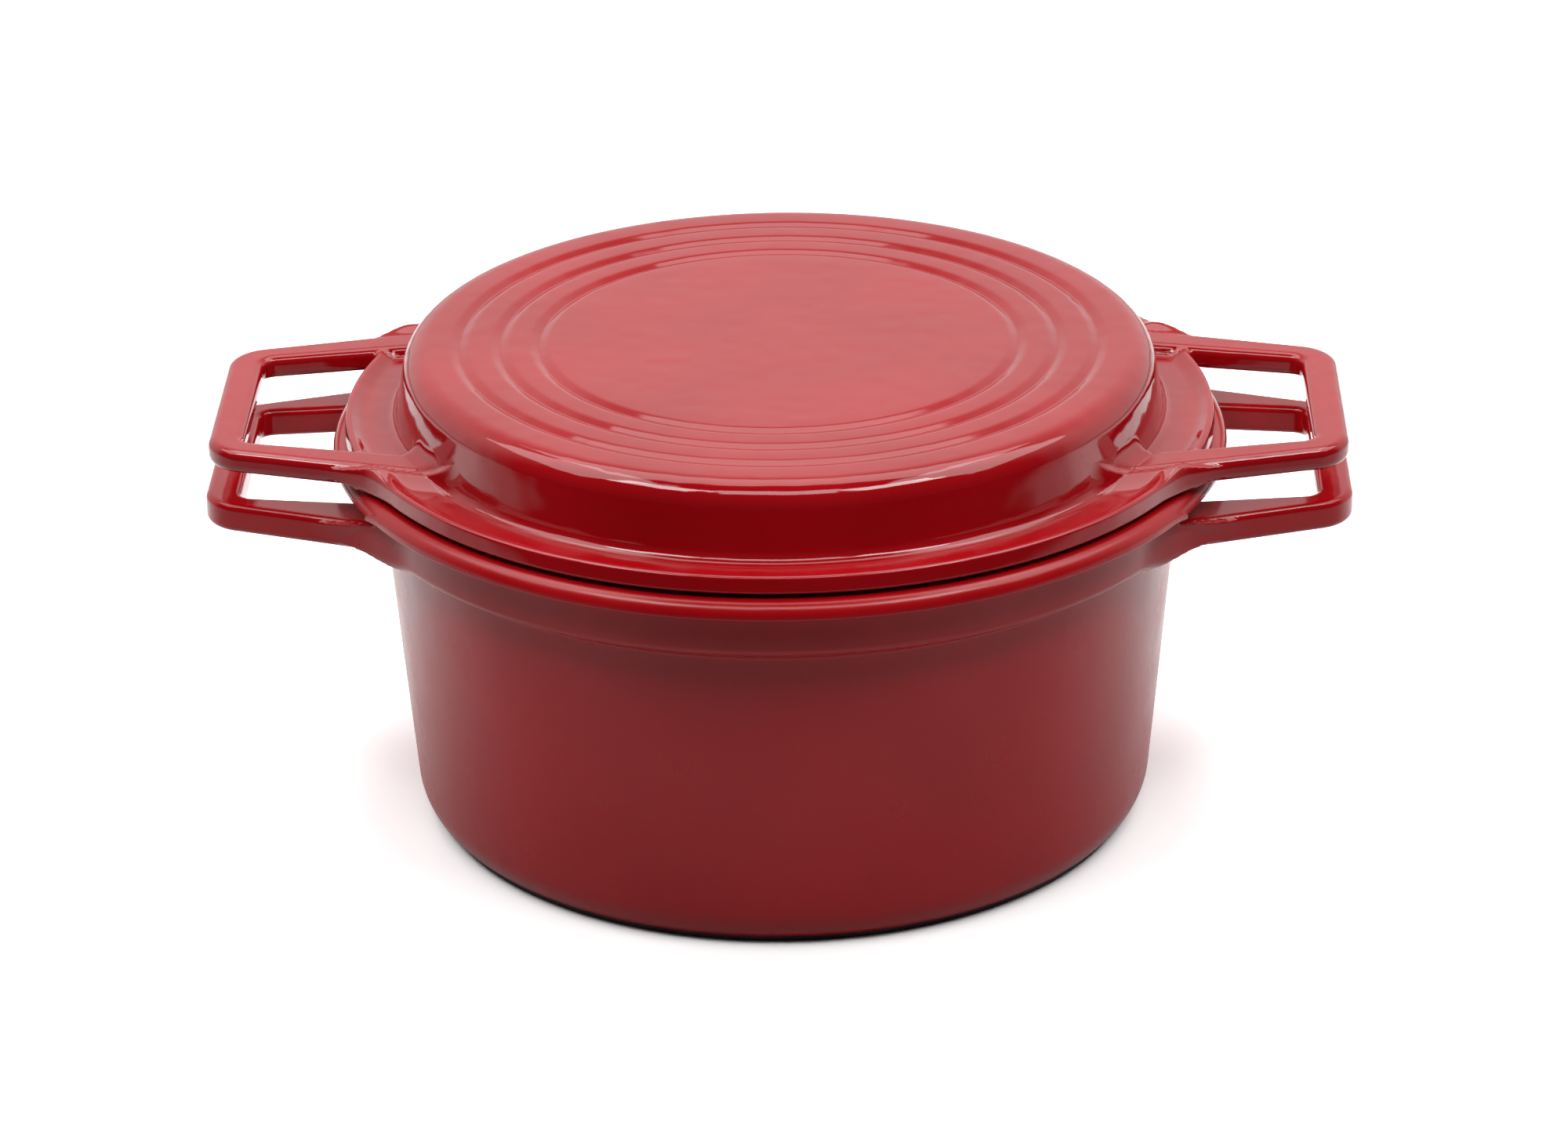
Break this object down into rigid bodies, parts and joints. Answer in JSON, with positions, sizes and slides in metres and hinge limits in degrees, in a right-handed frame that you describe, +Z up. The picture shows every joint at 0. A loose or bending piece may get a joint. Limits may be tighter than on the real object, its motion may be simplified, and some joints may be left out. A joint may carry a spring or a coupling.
{
  "type": "dutch oven",
  "caption": "Round enamelled cast iron dutch oven: a tapered pot with a collar and loop handles, and a flat-topped domed lid with matching loop handles that lifts off.",
  "frame": {"origin": "middle of the pot's flat base, on the surface it stands on", "axes": "+Z up, along the way the lid lifts; +X through the right-hand handles; -Y towards the viewer"},
  "size_m": [0.336, 0.2646, 0.1453],
  "materials": {
    "red_enamel": "gloss",
    "black_enamel": "satin"
  },
  "bodies": {
    "pot": {"pot_body": "red_enamel", "pot_enamel_lining": "black_enamel", "pot_handle_left": "red_enamel", "pot_handle_right": "red_enamel"},
    "lid": {"lid_body": "red_enamel", "lid_enamel_lining": "black_enamel", "lid_handle_left": "red_enamel", "lid_handle_right": "red_enamel"}
  },
  "joints": [
    {"name": "lid_lift", "type": "slide", "parent": "pot", "child": "lid", "axis": [0, 0, 1], "range_m": [0, 0.06]}
  ]
}
